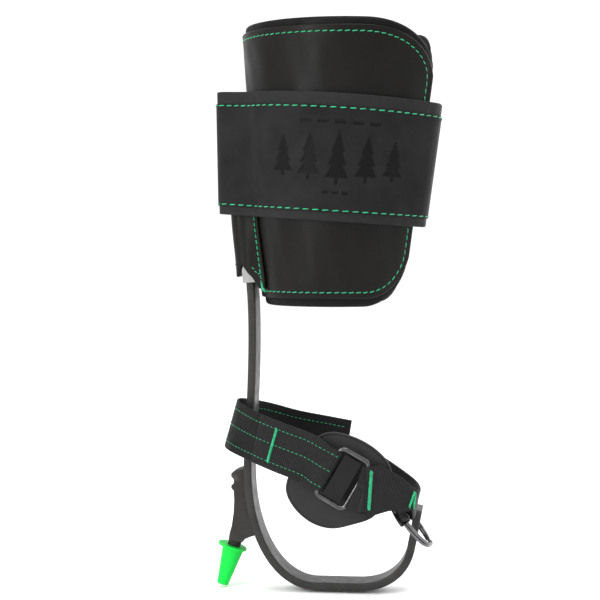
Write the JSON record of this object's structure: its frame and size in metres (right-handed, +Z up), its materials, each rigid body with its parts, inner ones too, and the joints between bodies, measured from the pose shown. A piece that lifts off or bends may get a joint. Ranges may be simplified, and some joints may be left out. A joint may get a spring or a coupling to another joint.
{
  "type": "tree climbing spur",
  "caption": "Arborist's climbing spur: forged shank with stirrup and gaff, guarded point, sliding leg sleeve, wrap-round calf pad, strap and ankle strap with ring.",
  "frame": {"origin": "middle of the stirrup tread's upper face, where the boot sole rests", "axes": "+Z up along the leg and square to the tread, +X to the outer side of the leg, -Y to the front"},
  "size_m": [0.1771, 0.1555, 0.4356],
  "materials": {
    "forged_steel": "satin dark coating over forged steel",
    "gaff_steel": "satin black coating over forged steel",
    "screw_steel": "black oxide",
    "guard_plastic": "bright green moulded plastic",
    "ring_steel": "dark polished spring wire",
    "sleeve_steel": "light satin steel",
    "pad_leather": "smooth satin black leather, green stitching",
    "strap_leather": "charcoal nubuck, green stitching",
    "foam": "black foam under knitted cover",
    "rivet_steel": "dark steel",
    "hook_tape": "hook and loop tape",
    "webbing": "ribbed black webbing, green stitching",
    "smooth_strap": "smooth black coated strap",
    "chafe_rubber": "satin dark grey rubber"
  },
  "bodies": {
    "root": {"shank": "forged_steel", "gaff": "gaff_steel", "gaff_screws": "screw_steel", "ankle_band": "webbing", "rear_link": "smooth_strap", "buckle_frame": "ring_steel", "buckle_keeper": "smooth_strap", "ring_webbing": "webbing", "ring_tab": "webbing", "chafe_pad": "chafe_rubber", "chafe_rivets": "rivet_steel"},
    "guard": {"gaff_guard": "guard_plastic"},
    "ring": {"split_ring": "ring_steel"},
    "upper": {"leg_sleeve": "sleeve_steel", "sleeve_nuts": "screw_steel", "sleeve_screws": "screw_steel", "sleeve_pocket": "pad_leather", "cuff_foam_back": "foam", "cuff_leather_back": "pad_leather", "strap_anchor": "strap_leather", "strap_rivets": "rivet_steel", "loop_patch": "hook_tape"},
    "wing": {"cuff_foam_front": "foam", "cuff_leather_front": "pad_leather", "cuff_strap": "strap_leather"},
    "tail": {"strap_tail": "strap_leather", "hook_patch": "hook_tape"}
  },
  "joints": [
    {"name": "guard_pull", "type": "slide", "parent": "root", "child": "guard", "axis": [-0.2823, 0, -0.9593], "range_m": [0, 0.045]},
    {"name": "sleeve_height", "type": "slide", "parent": "root", "child": "upper", "axis": [-0.0802, 0, 0.9968], "range_m": [0, 0.05]},
    {"name": "cuff_open", "type": "hinge", "parent": "upper", "child": "wing", "pos_m": [-0.0641, -0.0332, 0.3], "axis": [0.057, 0.0479, -0.9972], "range_deg": [0, 50]},
    {"name": "tail_peel", "type": "hinge", "parent": "wing", "child": "tail", "pos_m": [0.07529, -0.02007, 0.32191], "axis": [-0.1367, 0.0399, -0.9898], "range_deg": [0, 70]},
    {"name": "ring_spin", "type": "hinge", "parent": "root", "child": "ring", "pos_m": [0.06, -0.019, 0.0475], "axis": [0.7502, -0.0393, 0.66], "continuous": true}
  ],
  "couplings": [
    {"joint": "tail_peel", "follows": "cuff_open", "ratio": 1.4}
  ]
}
